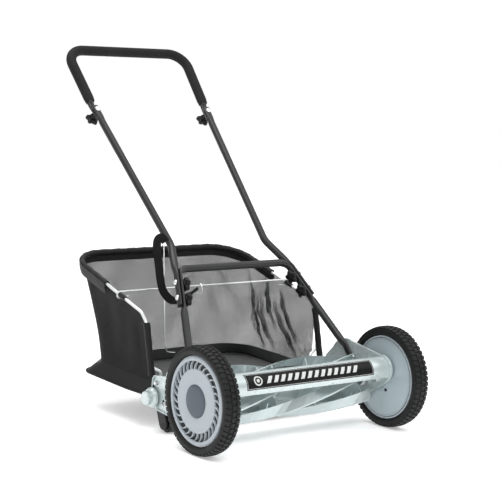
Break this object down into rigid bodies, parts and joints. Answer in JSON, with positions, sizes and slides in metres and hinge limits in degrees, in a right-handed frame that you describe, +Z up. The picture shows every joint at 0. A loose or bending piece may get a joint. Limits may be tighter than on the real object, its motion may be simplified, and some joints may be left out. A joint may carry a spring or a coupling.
{
  "type": "reel mower",
  "caption": "Push reel mower: silver side plates and helical reel between two grey wheels, black tube handle with a foam grip, and a mesh grass catcher behind.",
  "frame": {"origin": "middle of the bounding box, on the ground", "axes": "+X across the mower to the user's left wheel, +Y back towards the handle grip and the user, +Z up"},
  "size_m": [0.61, 0.9501, 0.9375],
  "materials": {
    "silver_paint": "silver grey satin enamel",
    "steel": "ground tool steel",
    "zinc": "bright zinc plate",
    "tyre_rubber": "matte black rubber with block tread",
    "wheel_plastic": "light grey moulded plastic",
    "cap_plastic": "slate grey moulded plastic",
    "black_plastic": "black nylon",
    "black_paint": "black enamel",
    "tube_black": "charcoal satin powder coat",
    "foam": "black closed cell foam",
    "mesh_fabric": "black open polyester mesh",
    "vinyl": "black vinyl sheet",
    "webbing": "black polyester webbing"
  },
  "bodies": {
    "chassis": {"side_plate_right": "silver_paint", "side_plate_left": "silver_paint", "front_cover": "silver_paint", "bed_knife_bar": "silver_paint", "bed_knife": "steel", "wheel_axle_right": "zinc", "wheel_axle_left": "zinc", "gear_shield_right": "silver_paint", "gear_shield_left": "silver_paint", "reel_bearing_right": "steel", "reel_bearing_left": "steel", "height_bolt_right": "silver_paint", "height_bolt_left": "silver_paint"},
    "wheel_right": {"tyre_right": "tyre_rubber", "wheel_hub_right": "wheel_plastic", "ring_gear_right": "black_plastic", "wheel_cover_right": "wheel_plastic", "hub_cap_right": "cap_plastic"},
    "wheel_left": {"tyre_left": "tyre_rubber", "wheel_hub_left": "wheel_plastic", "ring_gear_left": "black_plastic", "wheel_cover_left": "wheel_plastic", "hub_cap_left": "cap_plastic"},
    "reel": {"reel_shaft": "silver_paint", "reel_blade_1": "silver_paint", "reel_blade_2": "silver_paint", "reel_blade_3": "silver_paint", "reel_blade_4": "silver_paint", "reel_blade_5": "silver_paint", "reel_blade_6": "silver_paint", "pinion_right": "steel", "pinion_left": "steel"},
    "roller_mount": {"roller_bracket_right": "black_paint", "roller_bracket_left": "black_paint"},
    "roller": {"rear_roller": "black_plastic"},
    "handle": {"lower_handle": "tube_black", "middle_tube_right": "tube_black", "middle_tube_left": "tube_black", "upper_handle": "tube_black", "foam_grip": "foam", "clamp_bolt_right_1": "zinc", "clamp_bolt_right_2": "zinc", "clamp_bolt_left_1": "zinc", "clamp_bolt_left_2": "zinc", "joint_bolt_right": "zinc", "joint_bolt_left": "zinc", "lifting_strap": "webbing"},
    "catcher": {"catcher_frame": "zinc", "catcher_bag": "mesh_fabric", "catcher_floor": "vinyl", "cross_rod": "zinc", "rod_hook": "zinc"},
    "height_knob_right": {"height_knob_right": "black_plastic"},
    "clamp_knob_right_1": {"clamp_knob_right_1": "black_plastic"},
    "clamp_knob_right_2": {"clamp_knob_right_2": "black_plastic"},
    "joint_knob_right": {"joint_knob_right": "black_plastic"},
    "height_knob_left": {"height_knob_left": "black_plastic"},
    "clamp_knob_left_1": {"clamp_knob_left_1": "black_plastic"},
    "clamp_knob_left_2": {"clamp_knob_left_2": "black_plastic"},
    "joint_knob_left": {"joint_knob_left": "black_plastic"}
  },
  "joints": [
    {"name": "wheel_right_spin", "type": "hinge", "parent": "chassis", "child": "wheel_right", "pos_m": [-0.284, -0.34805, 0.127], "axis": [1, 0, 0], "continuous": true},
    {"name": "wheel_left_spin", "type": "hinge", "parent": "chassis", "child": "wheel_left", "pos_m": [0.284, -0.34805, 0.127], "axis": [1, 0, 0], "continuous": true},
    {"name": "reel_spin", "type": "hinge", "parent": "chassis", "child": "reel", "pos_m": [0, -0.30085, 0.1182], "axis": [1, 0, 0], "continuous": true},
    {"name": "roller_height", "type": "slide", "parent": "chassis", "child": "roller_mount", "axis": [0, 0, -1], "range_m": [0, 0.018]},
    {"name": "roller_spin", "type": "hinge", "parent": "roller_mount", "child": "roller", "pos_m": [0, -0.12605, 0.021], "axis": [1, 0, 0], "continuous": true},
    {"name": "handle_fold", "type": "hinge", "parent": "chassis", "child": "handle", "pos_m": [0, -0.26165, 0.1563], "axis": [1, 0, 0], "range_deg": [0, 90], "deforming": ["lifting_strap"]},
    {"name": "catcher_tilt", "type": "hinge", "parent": "chassis", "child": "catcher", "pos_m": [0, -0.10285, 0.1195], "axis": [1, 0, 0], "range_deg": [0, 20]},
    {"name": "height_knob_right_turn", "type": "hinge", "parent": "chassis", "child": "height_knob_right", "pos_m": [-0.2382, -0.09205, 0.083], "axis": [-1, 0, 0], "continuous": true},
    {"name": "clamp_knob_right_1_turn", "type": "hinge", "parent": "handle", "child": "clamp_knob_right_1", "pos_m": [-0.18946, -0.12298, 0.32451], "axis": [-0.9628, 0.1718, 0.2085], "continuous": true},
    {"name": "clamp_knob_right_2_turn", "type": "hinge", "parent": "handle", "child": "clamp_knob_right_2", "pos_m": [-0.17748, -0.09582, 0.35746], "axis": [-0.9628, 0.1718, 0.2085], "continuous": true},
    {"name": "joint_knob_right_turn", "type": "hinge", "parent": "handle", "child": "joint_knob_right", "pos_m": [-0.1775, 0.31695, 0.764], "axis": [0, -0.6786, 0.7346], "continuous": true},
    {"name": "height_knob_left_turn", "type": "hinge", "parent": "chassis", "child": "height_knob_left", "pos_m": [0.2382, -0.09205, 0.083], "axis": [1, 0, 0], "continuous": true},
    {"name": "clamp_knob_left_1_turn", "type": "hinge", "parent": "handle", "child": "clamp_knob_left_1", "pos_m": [0.18946, -0.12298, 0.32451], "axis": [0.9628, 0.1718, 0.2085], "continuous": true},
    {"name": "clamp_knob_left_2_turn", "type": "hinge", "parent": "handle", "child": "clamp_knob_left_2", "pos_m": [0.17748, -0.09582, 0.35746], "axis": [0.9628, 0.1718, 0.2085], "continuous": true},
    {"name": "joint_knob_left_turn", "type": "hinge", "parent": "handle", "child": "joint_knob_left", "pos_m": [0.1775, 0.31695, 0.764], "axis": [0, -0.6786, 0.7346], "continuous": true}
  ],
  "couplings": [
    {"joint": "wheel_right_spin", "follows": "reel_spin", "ratio": 0.2},
    {"joint": "wheel_left_spin", "follows": "reel_spin", "ratio": 0.2}
  ]
}
